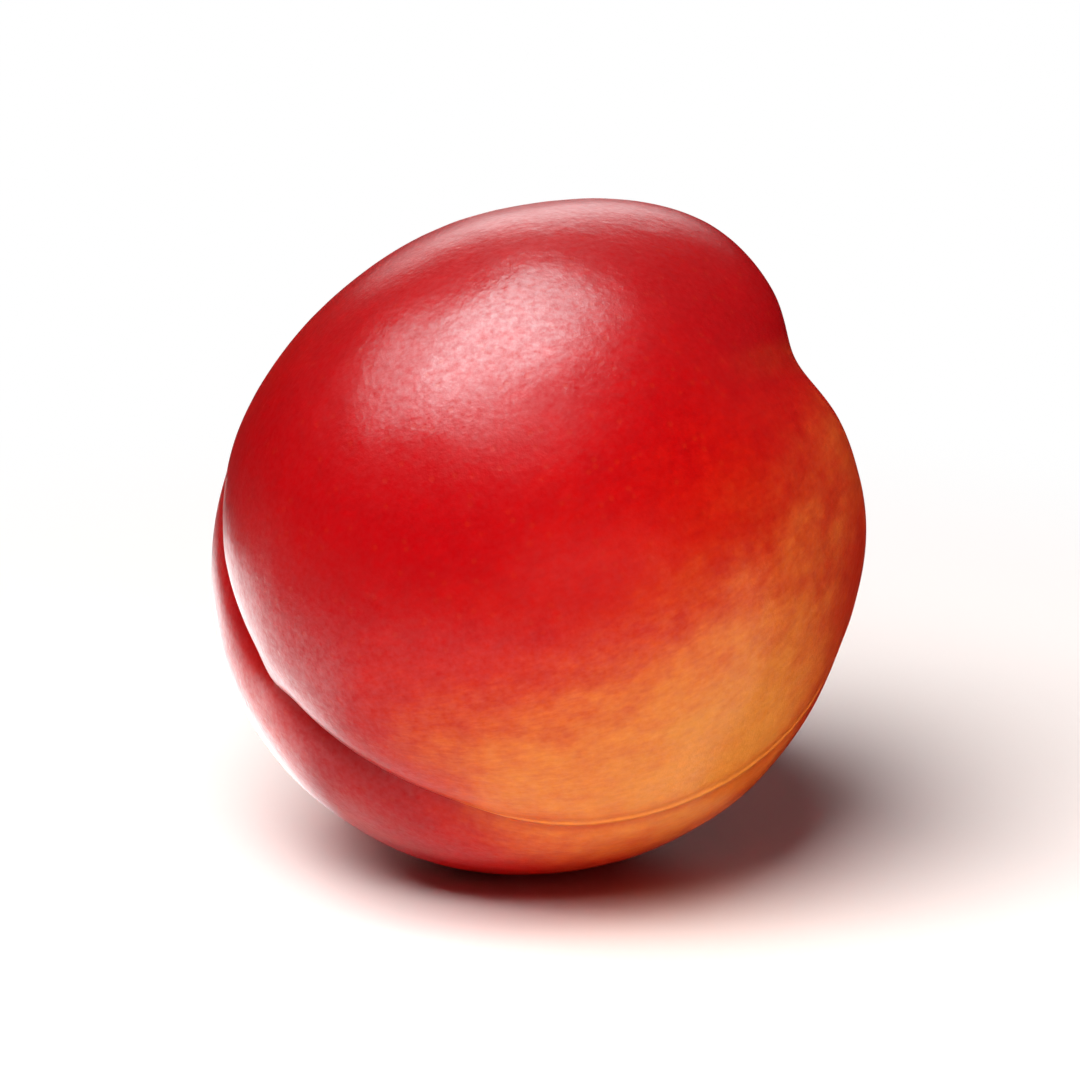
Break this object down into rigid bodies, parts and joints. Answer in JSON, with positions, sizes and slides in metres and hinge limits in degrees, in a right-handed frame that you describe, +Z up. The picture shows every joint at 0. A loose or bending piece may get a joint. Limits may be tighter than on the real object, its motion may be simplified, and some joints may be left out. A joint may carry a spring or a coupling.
{
  "type": "nectarine",
  "caption": "Whole ripe nectarine, round with a stalk hollow, a seam groove and smooth skin, lying on its cheek.",
  "frame": {"origin": "middle of the small flat spot on the lower cheek that the fruit rests on", "axes": "+Z up as the fruit lies, +X towards the stalk end and -Y towards the side that shows the seam"},
  "size_m": [0.0643, 0.0654, 0.0659],
  "materials": {
    "skin": "satin waxy skin, deep red over an orange and yellow ground colour"
  },
  "bodies": {
    "root": {"nectarine": "skin"}
  },
  "joints": []
}
